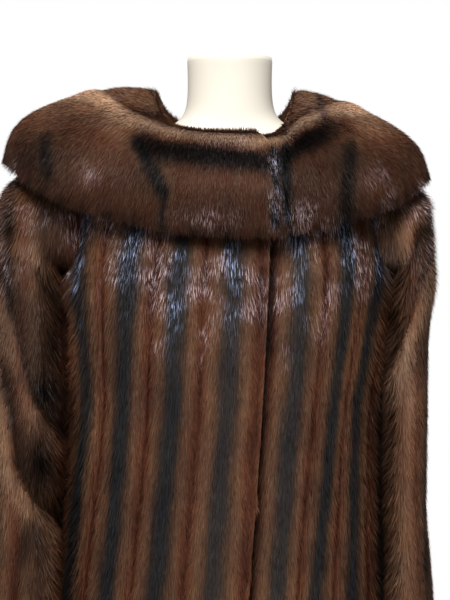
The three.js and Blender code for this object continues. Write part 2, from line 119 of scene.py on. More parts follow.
# Geometry Nodes: hair strands scattered over a sheet, laid along its flow attribute
def strandTree():
    tree = bpy.data.node_groups.new("furStrands", "GeometryNodeTree")
    sockets = tree.interface
    sockets.new_socket(name="Geometry", in_out="INPUT", socket_type="NodeSocketGeometry")
    for name in ("Density", "Length", "Width", "Lift", "Scatter", "Roll"):
        sockets.new_socket(name=name, in_out="INPUT", socket_type="NodeSocketFloat")
    sockets.new_socket(name="Seed", in_out="INPUT", socket_type="NodeSocketInt")
    sockets.new_socket(name="Finish", in_out="INPUT", socket_type="NodeSocketMaterial")
    sockets.new_socket(name="Geometry", in_out="OUTPUT", socket_type="NodeSocketGeometry")
    given = addNode(tree, "NodeGroupInput").outputs

    def stored(label, kind="FLOAT"):
        node = addNode(tree, "GeometryNodeInputNamedAttribute", {"Name": label}, data_type=kind)
        return node.outputs["Attribute"]

    def chance(label):
        low, high, ownNumber = strandChances[label]
        node = addNode(tree, "FunctionNodeRandomValue", data_type="FLOAT")
        node.inputs[2].default_value = low
        node.inputs[3].default_value = high
        feed(tree, node, "Seed", calc(tree, "ADD", given["Seed"], ownNumber))
        return node.outputs[1]

    # one strand: a long triangle, its root at the origin and its tip at height 1
    root = addNode(tree, "GeometryNodeMeshCircle", {"Vertices": 3, "Radius": 2 / 3}, fill_type="NGON")
    strand = addNode(tree, "GeometryNodeTransform", {
        "Geometry": root.outputs["Mesh"],
        "Translation": (0, 0, 1 / 3),
        "Rotation": (0, -math.pi / 2, 0),
    })
    height = addNode(tree, "ShaderNodeSeparateXYZ", {
        "Vector": addNode(tree, "GeometryNodeInputPosition").outputs[0],
    })
    markedStrand = addNode(tree, "GeometryNodeStoreNamedAttribute", {
        "Geometry": strand.outputs[0], "Name": "tip", "Value": height.outputs["Z"],
    }, data_type="FLOAT", domain="POINT")

    # where fewer strands grow, each is wider
    cover = stored("cover")
    width = calc(tree, "DIVIDE", given["Width"], calc(tree, "SQRT", cover))
    scattered = addNode(tree, "GeometryNodeDistributePointsOnFaces", {
        "Mesh": given["Geometry"],
        "Density": calc(tree, "MULTIPLY", given["Density"], cover),
        "Seed": given["Seed"],
    })
    normal = scattered.outputs["Normal"]
    length = calc(tree, "MULTIPLY", given["Length"], stored("pile"))
    stray = addNode(tree, "FunctionNodeRandomValue", {"Seed": given["Seed"]}, data_type="FLOAT_VECTOR")
    stray.inputs[0].default_value = (-1, -1, -1)
    stray.inputs[1].default_value = (1, 1, 1)
    lifted = calc(tree, "MULTIPLY", given["Lift"], stored("fluff"))
    raised = calc(tree, "MULTIPLY", lifted, chance("lift"))
    flow = stored("flow", "FLOAT_VECTOR")
    leaning = vectorCalc(tree, "ADD", flow, vectorCalc(tree, "SCALE", normal, scale=raised))
    strayed = vectorCalc(tree, "SCALE", stray.outputs[0], scale=given["Scatter"])
    along = vectorCalc(tree, "NORMALIZE", vectorCalc(tree, "ADD", leaning, strayed))

    # the strand's flat side turns about its own length, so the light catches some and misses others
    roll = calc(tree, "MULTIPLY", given["Roll"], chance("roll"))
    sideways = vectorCalc(tree, "CROSS_PRODUCT", along, normal)
    facing = vectorCalc(
        tree, "ADD",
        vectorCalc(tree, "SCALE", normal, scale=calc(tree, "COSINE", roll)),
        vectorCalc(tree, "SCALE", sideways, scale=calc(tree, "SINE", roll)),
    )
    turned = addNode(tree, "FunctionNodeAxesToRotation", primary_axis="Z", secondary_axis="X")
    feed(tree, turned, 0, along)
    feed(tree, turned, 1, facing)
    size = addNode(tree, "ShaderNodeCombineXYZ", {
        "X": width,
        "Y": width,
        "Z": calc(tree, "MULTIPLY", length, chance("length")),
    })
    placed = addNode(tree, "GeometryNodeInstanceOnPoints", {
        "Points": scattered.outputs["Points"],
        "Instance": markedStrand.outputs[0],
        "Rotation": turned.outputs[0],
        "Scale": size.outputs[0],
    })
    toned = addNode(tree, "GeometryNodeStoreNamedAttribute", {
        "Geometry": placed.outputs[0], "Name": "tone", "Value": chance("tone"),
    }, data_type="FLOAT", domain="INSTANCE")
    real = addNode(tree, "GeometryNodeRealizeInstances", {"Geometry": toned.outputs[0]})
    finished = addNode(tree, "GeometryNodeSetMaterial", {
        "Geometry": real.outputs[0], "Material": given["Finish"],
    })
    addNode(tree, "NodeGroupOutput", {"Geometry": finished.outputs[0]})
    return tree


# the larger smooth face of a wall's solid, as an open sheet of quads
def outerSheet(nodeName, creaseAngle=math.radians(65)):
    sheet = bmesh.new()
    sheet.from_mesh(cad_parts[nodeName].data)
    bmesh.ops.remove_doubles(sheet, verts=sheet.verts, dist=weldDistance)
    sheet.normal_update()
    unseen = set(sheet.faces)
    faces = []
    most = 0
    for start in list(sheet.faces):
        if start not in unseen:
            continue
        unseen.discard(start)
        group = []
        queue = [start]
        while queue:
            face = queue.pop()
            group.append(face)
            for edge in face.edges:
                for other in edge.link_faces:
                    if other in unseen and face.normal.angle(other.normal, math.pi) < creaseAngle:
                        unseen.discard(other)
                        queue.append(other)
        area = sum(face.calc_area() for face in group)
        if area > most:
            most, faces = area, group
    kept = set(faces)
    bmesh.ops.delete(sheet, geom=[face for face in sheet.faces if face not in kept], context="FACES")
    bmesh.ops.join_triangles(
        sheet, faces=sheet.faces, angle_face_threshold=math.pi, angle_shape_threshold=math.pi,
    )
    return sheet


def objectFrom(name, mesh):
    made = bpy.data.objects.new(name, mesh)
    bpy.context.scene.collection.objects.link(made)
    return made


# the plain mesh that an object's modifiers give
def evaluated(made):
    bpy.context.view_layer.update()
    graph = bpy.context.evaluated_depsgraph_get()
    return bpy.data.meshes.new_from_object(made.evaluated_get(graph), depsgraph=graph)


def smoothed(name, mesh, level):
    source = objectFrom(name, mesh)
    rounding = source.modifiers.new("rounding", "SUBSURF")
    rounding.levels = level
    rounding.render_levels = level
    rounding.boundary_smooth = "PRESERVE_CORNERS"
    result = evaluated(source)
    bpy.data.objects.remove(source)
    return result


def readVectors(collection, field):
    values = np.zeros(len(collection) * 3, np.float32)
    collection.foreach_get(field, values)
    return values.reshape(-1, 3).astype(float)


def shadeSmooth(mesh):
    mesh.polygons.foreach_set("use_smooth", [True] * len(mesh.polygons))


def storeAttribute(mesh, name, kind, values):
    layer = mesh.attributes.new(name, kind, "POINT")
    field = "vector" if kind == "FLOAT_VECTOR" else "value"
    layer.data.foreach_set(field, np.asarray(values, np.float32).ravel())


def unit(vectors):
    return vectors / np.maximum(np.linalg.norm(vectors, axis=1, keepdims=True), 1e-9)


def onSurface(vectors, normals):
    return unit(vectors - (vectors * normals).sum(1, keepdims=True) * normals)


def bell(values, centre, spread):
    return np.exp(-(((values - centre) / spread) ** 2))


def stepUp(values, low, high):
    share = np.clip((values - low) / (high - low), 0, 1)
    return share * share * (3 - 2 * share)


# where points lie in the photo's view: x from its middle and height, at the stand's depth
def seen(points):
    eyeX, eyeY, eyeZ = photoEye
    nearer = (axisY - eyeY) / (points[:, 1] - eyeY)
    return (points[:, 0] - eyeX) * nearer, eyeZ + (points[:, 2] - eyeZ) * nearer


def awayFromLine(x, z, start, end):
    alongX, alongZ = end[0] - start[0], end[1] - start[1]
    share = ((x - start[0]) * alongX + (z - start[1]) * alongZ) / (alongX ** 2 + alongZ ** 2)
    share = np.clip(share, 0, 1)
    return np.hypot(x - start[0] - share * alongX, z - start[1] - share * alongZ)


# distance from a line of points as seen: positive on the picture's right of a line that runs down
def besideFold(x, z, line):
    nearestYet = np.full(len(x), math.inf)
    for start, end in zip(line, line[1:]):
        away = awayFromLine(x, z, start, end)
        side = np.sign((end[0] - start[0]) * (z - start[1]) - (end[1] - start[1]) * (x - start[0]))
        nearestYet = np.where(away < np.abs(nearestYet), away * side, nearestYet)
    return nearestYet


# where the pelts run on the body: x of each dark stripe at three heights, from the stand's axis
peltPlan = {
    "heights": (1.185, 1.025, 0.800),
    "section": {"halfWidth": 0.198, "halfDepth": 0.150, "square": 2.3},
    "pitch": 0.066,
    "pitchesBeyond": 3,
    "backStart": 0.5,
    "front_right": (
        (0.004, -0.004, -0.021),
        (-0.062, -0.067, -0.082),
        (-0.121, -0.125, -0.137),
        (-0.183, -0.170, -0.187),
    ),
    "front_left": (
        (0.089, 0.075, 0.052),
        (0.146, 0.127, 0.094),
        (0.183, 0.155, 0.144),
    ),
    "splay": 0.16,
    "shadeWaves": ((0.10, 2.4, 1), (0.05, 5.3, 0)),
    "joinFrom": (0.40, 0.5),
    "joinGroove": 0.003,
    "underCollar": (1.27, 1.31),
    "hiddenPile": 0.6,
    "edgeHeights": (0.27, 1.284),
    "edgeX": (-0.008, 0.047),
    "edgeShadow": (0.001, 0.017),
    "edgeShade": 0.80,
    "sideFacing": (0.75, 0.95),
    "sideAbove": (0.66, 0.74),
    "sidePile": 0.3,
    "sideShade": 0.60,
    "sideBelow": (0.99, 1.07),
    "sheenFrom": 1.075,
    "sheenRise": 1.9,
    "sheenWaves": ((0.018, 47), (0.020, 131)),
    "sheenFull": 0.06,
    "sheenFacing": (0.1, 0.6),
}


# length round the body from its front middle to each x of the plan's section
def roundLength():
    section = peltPlan["section"]
    turn = np.linspace(-math.pi / 2, math.pi / 2, turnSteps + 1)
    power = 2 / section["square"]
    x = section["halfWidth"] * np.sign(np.sin(turn)) * np.abs(np.sin(turn)) ** power
    y = section["halfDepth"] * np.cos(turn) ** power
    steps = np.hypot(np.diff(x), np.diff(y))
    length = np.concatenate([[0], np.cumsum(steps)])
    return turn, x, length - length[turnSteps // 2]


planTurn, planX, planLength = roundLength()


# number of pelts round from a front's first stripe or from beside the back's middle, whole on
# each dark stripe
def bodyPelts(panel, points):
    section = peltPlan["section"]
    x = (points[:, 0] - axisX) / section["halfWidth"]
    y = -(points[:, 1] - axisY) / section["halfDepth"]
    power = section["square"] / 2
    turn = np.arctan2(np.sign(x) * np.abs(x) ** power, np.sign(y) * np.abs(y) ** power)
    if panel == "back":
        turn = np.where(turn < 0, turn + 2 * math.pi, turn) - math.pi
        return np.interp(turn, planTurn, planLength) / peltPlan["pitch"] + peltPlan["backStart"]
    length = np.interp(turn, planTurn, planLength)
    length += np.sign(turn) * np.maximum(np.abs(turn) - math.pi / 2, 0) * planLength[-1] / (math.pi / 2)
    lines = []
    for stripe in sorted(peltPlan[panel]):
        places = [np.interp(at, planX, planLength) for at in stripe]
        lines.append(np.interp(points[:, 2], peltPlan["heights"][::-1], places[::-1]))
    beyond = peltPlan["pitchesBeyond"]
    numbers = [-beyond, *range(len(lines)), len(lines) - 1 + beyond]
    margin = beyond * peltPlan["pitch"]
    lines = [lines[0] - margin, *lines, lines[-1] + margin]
    pelts = np.zeros(len(points))
    for n in range(len(numbers) - 1):
        inside = (length >= lines[n]) & (length < lines[n + 1])
        share = (length - lines[n]) / (lines[n + 1] - lines[n])
        pelts[inside] = (numbers[n] + share * (numbers[n + 1] - numbers[n]))[inside]
    return pelts


# distance to the nearest stripe's middle, in pelts: below 0 before it
def besideStripe(pelts):
    return pelts - np.round(pelts)


# each pelt is a little lighter or darker than the next
def peltShade(pelts):
    number = np.round(pelts)
    waves = peltPlan["shadeWaves"]
    return 1 + sum(share * np.sin(pace * number + shift) for share, pace, shift in waves)


def bodyLayout(panel):
    plan = peltPlan

    def layout(points, normals):
        pelts = bodyPelts(panel, points)
        beside = besideStripe(pelts)
        across = onSurface(np.cross(np.array([0.0, 0.0, 1.0]), normals), normals)
        flow = onSurface(np.tile([0.0, 0.0, -1.0], (len(points), 1)), normals)
        flow += plan["splay"] * 2 * beside[:, None] * across
        hidden = stepUp(points[:, 2], *plan["underCollar"])
        # painted sheen on the upper chest, starting lower towards the middle
        start = plan["sheenFrom"] + plan["sheenRise"] * (points[:, 0] - axisX) ** 2
        for reach, pace in plan["sheenWaves"]:
            start += reach * np.sin(points[:, 0] * pace)
        sheen = stepUp(points[:, 2], start, start + plan["sheenFull"])
        sheen *= stepUp(-normals[:, 1], *plan["sheenFacing"])
        atSide = stepUp(np.abs(normals[:, 0]), *plan["sideFacing"])
        atSide *= stepUp(points[:, 2], *plan["sideAbove"])
        armZ, armSpread, armPile = sleevePlan["underarm"]
        morePile = plan["sidePile"] + armPile * bell(points[:, 2], armZ, armSpread)
        below = 1 - stepUp(points[:, 2], *plan["sideBelow"])
        # each pelt's own tone, with painted shade on the lower sides beside the sleeves
        shade = peltShade(pelts) * (1 - plan["sideShade"] * atSide * below)
        # painted shadow on the left front beside the right front's overlapping edge, where there is no
        # painted sheen
        if panel == "front_left":
            lowX, topX = plan["edgeX"]
            edge = axisX + lowX + (topX - lowX) * stepUp(points[:, 2], *plan["edgeHeights"])
            near, far = plan["edgeShadow"]
            inEdgeShadow = 1 - stepUp(points[:, 0], edge + near, edge + far)
            shade = shade * (1 - plan["edgeShade"] * inEdgeShadow)
            sheen = sheen * (1 - inEdgeShadow)
        return {
            "pelt": np.abs(beside),
            "shade": shade,
            "flow": unit(flow),
            "lean": 1 - hidden,
            "pile": 1 - plan["hiddenPile"] * hidden + atSide * morePile,
            "paintedSheen": sheen,
            "rise": -plan["joinGroove"] * stepUp(np.abs(beside), *plan["joinFrom"]),
            "fluff": atSide,
        }
    return layout


# the sleeves; a fold is a shallow dip and ridge with painted shade and painted light: its line as seen
# from top to bottom, the side its painted shade lies on (1 is the right as seen,
# -1 the left and 0 both), the spread and strength of its painted shade, and the strength of its painted
# light beside it. Shines are places of painted sheen, and hollows are places of painted shade over a
# slight dip: x, z, their spreads and a strength, below 0 where the hollow is a place of painted light
sleevePlan = {
    "pelts": 7,
    "halfThick": 0.050,
    "tube": {"top": 1.1, "levels": 14, "reach": 0.03},
    "splay": 0.16,
    "outward": 0.12,
    "underCollar": (1.26, 1.30),
    "hiddenPile": 0.4,
    "sheenFrom": (1.15, 1.20),
    "sheen": 0.5,
    "inwardFrom": (-0.3, 0.8),
    "inwardShade": 0.35,
    "inwardLit": {"share": 0.7, "from": (1.14, 1.20)},
    "aheadFacing": (-0.1, 0.3),
    "plainPelt": 0.24,
    "plainStripe": 0.3,
    "plainShare": 0.75,
    "foldEdge": 0.004,
    "foldLight": (0.010, 0.011),
    "foldDepth": 0.005,
    "headFluff": (1.12, 1.20),
    "headFacing": (0.3, 0.8),
    "withinFacing": (0.6, 0.9),
    "withinPile": 0.2,
    "underarm": (1.165, 0.025, 0.8),
    "shines": {
        "sleeve_right": (
            (-0.190, 1.235, 0.030, 0.030, 1.2), (-0.281, 1.220, 0.008, 0.020, 1.3),
            (-0.277, 1.170, 0.008, 0.020, 1.1),
        ),
        "sleeve_left": ((0.190, 1.225, 0.022, 0.030, 1.0), (0.246, 1.262, 0.006, 0.020, 1.2)),
    },
    "shadedAndLitHollows": {
        "sleeve_right": (
            (-0.216, 1.1725, 0.012, 0.030, 0.90), (-0.2125, 1.085, 0.014, 0.050, 0.85),
            (-0.219, 1.029, 0.018, 0.020, 0.95), (-0.225, 0.941, 0.022, 0.035, 0.95),
            (-0.271, 1.229, 0.010, 0.035, 0.90), (-0.2100, 0.810, 0.006, 0.050, 0.80),
            (-0.2475, 0.835, 0.006, 0.030, 0.50), (-0.272, 0.870, 0.010, 0.060, -0.45),
            (-0.262, 1.100, 0.010, 0.040, -0.30),
        ),
        "sleeve_left": (
            (0.241, 1.210, 0.008, 0.030, 0.90), (0.2125, 1.120, 0.008, 0.020, 0.60),
            (0.191, 0.900, 0.011, 0.120, 0.92), (0.254, 0.835, 0.004, 0.100, 0.60),
            (0.224, 0.920, 0.016, 0.100, -0.55), (0.232, 1.030, 0.014, 0.050, -0.45),
            (0.222, 0.790, 0.018, 0.060, -0.55),
        ),
    },
    "sleeve_right": (
        (((-0.279, 1.151), (-0.256, 1.056), (-0.235, 1.006), (-0.2025, 0.964)), 1, 0.030, 0.80, 0.80),
        (((-0.281, 1.201), (-0.240, 1.189), (-0.210, 1.156)), -1, 0.010, 0.55, 0.50),
        (((-0.281, 1.039), (-0.265, 0.931), (-0.240, 0.889), (-0.215, 0.860)), 1, 0.032, 0.85, 0.90),
        (((-0.2275, 0.8975), (-0.206, 0.856), (-0.2025, 0.7725)), 1, 0.010, 0.80, 0.70),
        (((-0.240, 0.856), (-0.260, 0.806), (-0.265, 0.760)), 0, 0.008, 0.60, 0.0),
    ),
    "sleeve_left": (
        (((0.2475, 1.239), (0.221, 1.189), (0.200, 1.135), (0.194, 1.0975)), 1, 0.012, 0.75, 0.70),
        (((0.250, 1.164), (0.231, 1.114), (0.215, 1.0725), (0.194, 1.0225)), -1, 0.012, 0.65, 0.90),
        (((0.194, 1.0225), (0.185, 0.939), (0.185, 0.7725)), 0, 0.011, 0.85, 0.0),
    ),
}


def sleeveLayout(nodeName):
    plan = sleevePlan
    low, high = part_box(nodeName)
    centreY = (low.y + high.y) / 2
    halfDepth = (high.y - low.y) / 2
    outward = 1 if low.x > 0 else -1

    def middleX(points):
        tube = plan["tube"]
        hanging = points[points[:, 2] < tube["top"]]
        levels = np.linspace(low.z, tube["top"], tube["levels"])
        middles = []
        for level in levels:
            ring = hanging[np.abs(hanging[:, 2] - level) < tube["reach"], 0]
            middles.append((ring.min() + ring.max()) / 2)
        return np.interp(points[:, 2], levels, middles)

    # number of pelts round the tube
    def roundPelts(points, aside):
        turn = np.arctan2(aside * outward, -(points[:, 1] - centreY) / halfDepth)
        fine = np.linspace(-math.pi, math.pi, turnSteps + 1)
        steps = np.hypot(np.diff(np.sin(fine)) * plan["halfThick"], np.diff(np.cos(fine)) * halfDepth)
        length = np.concatenate([[0], np.cumsum(steps)])
        return np.interp(turn, fine, length / length[-1] * plan["pelts"])

    def layout(points, normals):
        aside = (points[:, 0] - middleX(points)) / plan["halfThick"]
        pelts = roundPelts(points, aside)
        beside = besideStripe(pelts)
        down = np.tile([outward * plan["outward"], 0.0, -1.0], (len(points), 1))
        flow = onSurface(down, normals)
        across = onSurface(np.cross(np.array([0.0, 0.0, 1.0]), normals), normals)
        flow += plan["splay"] * 2 * beside[:, None] * across * outward
        hidden = stepUp(points[:, 2], *plan["underCollar"])
        # painted shade on the sleeve's side toward the body
        inward = stepUp(-aside * outward, *plan["inwardFrom"])
        ahead = stepUp(-normals[:, 1], *plan["aheadFacing"])

        # folds, hollows and shines, where they are seen: painted shade in folds and hollows, painted
        # light on fold ridges and lit places, painted sheen at shines
        x, z = seen(points)
        dark = np.zeros(len(points))
        light = np.zeros(len(points))
        lightPlace, lightSpread = plan["foldLight"]
        for line, side, spread, darkness, lightness in plan[nodeName]:
            off = besideFold(x, z, line)
            off = np.abs(off) if side == 0 else off * side
            edge = stepUp(off, -plan["foldEdge"], plan["foldEdge"])
            dark = np.maximum(dark, ahead * darkness * edge * bell(np.maximum(off, 0), 0, spread))
            light = np.maximum(light, ahead * lightness * bell(off, -lightPlace, lightSpread))
        light *= 1 - dark
        for atX, atZ, wide, high, strength in plan["shadedAndLitHollows"][nodeName]:
            hollowShade = ahead * strength * bell(x, atX, wide) * bell(z, atZ, high)
            dark = 1 - (1 - dark) * (1 - hollowShade)
        # painted sheen along the sleeve's top, less on the side toward the body, and at the shining
        # places
        paintedSheen = plan["sheen"] * stepUp(points[:, 2], *plan["sheenFrom"]) * (1 - inward)
        for atX, atZ, wide, high, strength in plan["shines"][nodeName]:
            paintedSheen += ahead * strength * bell(x, atX, wide) * bell(z, atZ, high)

        plain = plan["plainShare"] * ahead
        plainPelt = plan["plainPelt"] + plan["plainStripe"] * np.abs(beside)
        head = stepUp(points[:, 2], *plan["headFluff"])
        head *= stepUp(normals[:, 0] * outward, *plan["headFacing"])
        within = stepUp(-normals[:, 0] * outward, *plan["withinFacing"])
        armZ, armSpread, armPile = plan["underarm"]
        morePile = plan["withinPile"] + armPile * bell(points[:, 2], armZ, armSpread)
        # less painted shade on the inner side near the top
        inwardLit = plan["inwardLit"]
        inward *= 1 - inwardLit["share"] * stepUp(points[:, 2], *inwardLit["from"])
        return {
            "pelt": np.abs(beside) * (1 - plain) + plainPelt * plain,
            "shade": peltShade(pelts) * (1 - plan["inwardShade"] * inward) * (1 - dark + light),
            "flow": unit(flow),
            "lean": 1 - hidden,
            "pile": 1 - plan["hiddenPile"] * hidden + within * morePile,
            "paintedSheen": paintedSheen * (1 - dark),
            "rise": plan["foldDepth"] * (light - dark),
            "fluff": np.maximum(within, head),
        }
    return layout


def nearest(tree, points):
    return np.array([tree.find(Vector(point))[0] for point in points])


def treeOf(points):
    tree = kdtree.KDTree(len(points))
    for number, point in enumerate(points):
        tree.insert(Vector(point), number)
    tree.balance()
    return tree


# the collar. As seen: its rolled ridge, the shades at drops from the ridge (painted light on and above
# the ridge, painted shade below it), the dark folds (start, end, spread, strength), and patches of
# painted light and shade and shining places of painted sheen (x, z, their spreads and a strength, below
# 0 where a patch is of painted shade). Sides and back: bands from foot to rim with painted light at the
# ridge and painted shade at the foot and rim, and joins at angles (angle, spread, strength)
collarPlan = {
    "neckBack": 0.012,
    "sideShare": 0.84,
    "footReach": 0.118,
    "footBand": (0.08, 0.3),
    "footPile": 0.5,
    "rimSector": 6,
    "rimDepth": 0.010,
    "aheadTurn": (75, 100),
    "outsideFacing": (-0.3, 0.1),
    "ridge": (
        (-0.200, 1.400), (-0.1625, 1.398), (-0.1375, 1.380), (-0.119, 1.366), (-0.094, 1.3575),
        (-0.075, 1.350), (-0.044, 1.346), (-0.0125, 1.343), (0.019, 1.340), (0.050, 1.335),
        (0.0725, 1.3375), (0.094, 1.3575), (0.119, 1.369), (0.144, 1.379), (0.190, 1.385),
    ),
    "drops": (-0.060, -0.022, -0.005, 0.002, 0.009, 0.014, 0.045, 0.060, 0.090),
    "dropShades": (1.50, 1.60, 2.60, 3.00, 1.90, 0.90, 0.66, 0.56, 0.46),
    "dropRises": (0.0, 0.0, 0.002, 0.004, 0.001, 0.0, 0.0, 0.001, 0.0),
    "dropPaintedSheens": (0.15, 0.15, 0.45, 0.50, 0.20, 0.0, 0.0, 0.0, 0.0),
    "shoulder": {"drop": 0.020, "spread": 0.030, "reach": (0.11, 0.16), "light": 0.9},
    "crease": {"drop": -0.015, "spread": 0.006, "from": (0.065, 0.090), "shade": 0.65, "depth": 0.004},
    "trough": {
        "from": (0.005, 0.012),
        "to": (0.026, 0.046),
        "middle": 0.015,
        "reach": (0.10, 0.15),
        "shade": 0.97,
        "depth": 0.001,
    },
    "shortPile": (0.006, 0.008, 0.5),
    "folds": (
        ((-0.106, 1.340), (-0.0775, 1.280), 0.0100, 1.10),
        ((-0.0775, 1.280), (-0.076, 1.225), 0.0045, 0.75),
        ((-0.221, 1.3425), (-0.221, 1.300), 0.0100, 0.80),
        ((0.1525, 1.3300), (0.1525, 1.2400), 0.0110, 0.90),
        ((0.0755, 1.330), (0.0755, 1.240), 0.0080, 1.00),
        ((0.0610, 1.328), (0.0610, 1.235), 0.0040, 0.95),
        ((0.1075, 1.400), (0.1225, 1.3625), 0.0050, 0.80),
    ),
    "foldShade": 0.70,
    "patches": (
        (-0.175, 1.304, 0.030, 0.020, 0.80), (-0.0125, 1.290, 0.045, 0.014, 0.45),
        (0.1875, 1.291, 0.028, 0.022, 0.70), (0.092, 1.305, 0.026, 0.018, -0.30),
        (-0.206, 1.262, 0.030, 0.012, -0.50), (-0.120, 1.245, 0.030, 0.012, -0.40),
        (-0.020, 1.225, 0.070, 0.010, -0.45), (0.230, 1.335, 0.020, 0.020, -0.35),
        (-0.250, 1.330, 0.014, 0.030, -0.45),
    ),
    "shines": (
        (-0.160, 1.295, 0.016, 0.018, 0.9), (-0.0225, 1.248, 0.034, 0.014, 0.6),
        (0.106, 1.245, 0.024, 0.016, 1.2), (0.194, 1.2825, 0.015, 0.022, 1.0),
        (0.244, 1.279, 0.006, 0.022, 1.2), (0.0610, 1.2825, 0.005, 0.042, 2.0),
        (-0.129, 1.3875, 0.007, 0.007, 1.2), (-0.262, 1.300, 0.006, 0.020, 0.9),
    ),
    "joins": ((-96, 5, 0.7), (97, 5, 0.7), (-128, 5, 0.7), (127, 5, 0.7), (178, 4, 0.7)),
    "joinFrom": (0.3, 0.42),
    "joinDepth": 0.29,
    "brown": 0.37,
    "pelt": (0.02, 0.5),
    "sway": {"share": 0.08, "degrees": 9},
    "fall": 1.2,
    "fallFrom": (0.35, 0.75),
    "bandShares": (0.0, 0.30, 0.40, 0.55, 0.86, 1.0),
    "bandShades": (0.60, 0.90, 1.40, 0.95, 0.70, 0.50),
    "rimShade": 0.25,
    "rimShadow": (0.001, 0.016),
    "rimLean": 0.35,
}


# border points of a collar half: its foot near the neck, and its rim without the front edge
def collarBorders(node):
    sheet = outerSheet(node)
    border = np.array([v.co[:] for v in sheet.verts if v.is_boundary])
    sheet.free()
    outX = (border[:, 0] - axisX) / collarPlan["sideShare"]
    outY = border[:, 1] - axisY - collarPlan["neckBack"]
    reach = np.hypot(outX, outY)
    sector = np.round(np.degrees(np.arctan2(outX, outY)) / collarPlan["rimSector"])
    farthest = np.array([reach[np.abs(sector - one) <= 0.5].max() for one in sector])
    isFoot = reach < collarPlan["footReach"]
    return border[isFoot], border[(reach > farthest - collarPlan["rimDepth"]) & ~isFoot]


def collarLayout(node):
    foot, rim = collarBorders(node)
    footTree = treeOf(foot)
    rimTree = treeOf(rim)
    plan = collarPlan

    def layout(points, normals):
        near = np.linalg.norm(points - nearest(footTree, points), axis=1)
        far = np.linalg.norm(points - nearest(rimTree, points), axis=1)
        share = near / np.maximum(near + far, 1e-6)
        outward = points - np.array([axisX, axisY + plan["neckBack"], 0])
        outward[:, 2] = 0
        outward[:, 0] *= plan["sideShare"]
        falling = plan["fall"] * stepUp(share, *plan["fallFrom"])
        flow = onSurface(unit(outward) - falling[:, None] * np.array([0.0, 0.0, 1.0]), normals)
        turn = np.degrees(np.arctan2(points[:, 0] - axisX, axisY + plan["neckBack"] - points[:, 1]))
        ahead = 1 - stepUp(np.abs(turn), *plan["aheadTurn"])
        x, z = seen(points)
        drop = np.interp(x, *zip(*plan["ridge"])) - z
        outside = stepUp((normals * unit(outward)).sum(1), *plan["outsideFacing"])
        drop = np.where(drop > 0, drop * outside, drop)
        # painted shadow in the trough below the rolled ridge, over a slight dip
        trough = plan["trough"]
        shadowBelowRoll = ahead * stepUp(drop, *trough["from"]) * (1 - stepUp(drop, *trough["to"]))
        shadowBelowRoll *= 1 - stepUp(np.abs(x - trough["middle"]), *trough["reach"])
        # painted shade in the crease above the ridge at the sides, over a small dip
        crease = plan["crease"]
        creaseShadow = ahead * bell(drop, crease["drop"], crease["spread"])
        creaseShadow *= stepUp(np.abs(x), *crease["from"])
        # painted light on the ridge and painted shade below it
        front = np.interp(drop, plan["drops"], plan["dropShades"])
        front *= (1 - trough["shade"] * shadowBelowRoll) * (1 - crease["shade"] * creaseShadow)
        # painted light on the collar's tops over the shoulders
        shoulder = plan["shoulder"]
        topLit = bell(drop, shoulder["drop"], shoulder["spread"])
        topLit *= stepUp(np.abs(x - trough["middle"]), *shoulder["reach"])
        front *= 1 + shoulder["light"] * topLit
        # sides and back: painted light at the ridge band and painted shade toward the foot and rim
        back = np.interp(share, plan["bandShares"], plan["bandShades"])
        dark = np.zeros(len(points))
        for start, end, spread, strength in plan["folds"]:
            dark += ahead * strength * bell(awayFromLine(x, z, start, end), 0, spread)
        for angle, spread, strength in plan["joins"]:
            off = (turn - angle + 180) % 360 - 180
            dark += strength * bell(off, 0, spread) * stepUp(share, *plan["joinFrom"])
        dark = np.minimum(dark, 1)
        # patches of painted light, and of painted shade where the strength is below 0
        for atX, atZ, wide, high, strength in plan["patches"]:
            front *= 1 + strength * bell(x, atX, wide) * bell(z, atZ, high)
        shade = ahead * front + (1 - ahead) * back
        sway = plan["sway"]
        shade *= (1 - plan["foldShade"] * dark) * (1 + sway["share"] * np.sin(turn / sway["degrees"]))
        # painted shadow along the rim
        shade *= plan["rimShade"] + (1 - plan["rimShade"]) * stepUp(far, *plan["rimShadow"])
        # painted sheen on and above the ridge and at the shining places
        paintedSheen = ahead * np.interp(drop, plan["drops"], plan["dropPaintedSheens"])
        for atX, atZ, wide, high, strength in plan["shines"]:
            paintedSheen += ahead * strength * bell(x, atX, wide) * bell(z, atZ, high)
        atFoot = (1 - ahead) * (1 - stepUp(share, *plan["footBand"]))
        rise = ahead * np.interp(drop, plan["drops"], plan["dropRises"])
        rise -= trough["depth"] * shadowBelowRoll + crease["depth"] * creaseShadow
        shortDrop, shortSpread, shortShare = plan["shortPile"]
        shorter = shortShare * ahead * bell(drop, shortDrop, shortSpread)
        return {
            "pelt": np.clip(plan["brown"] - plan["joinDepth"] * dark, *plan["pelt"]),
            "shade": shade,
            "flow": flow,
            "lean": plan["rimLean"] * (1 - atFoot),
            "pile": 1 - plan["footPile"] * atFoot - shorter,
            "paintedSheen": paintedSheen,
            "rise": rise,
            "fluff": np.zeros(len(points)),
        }
    return layout


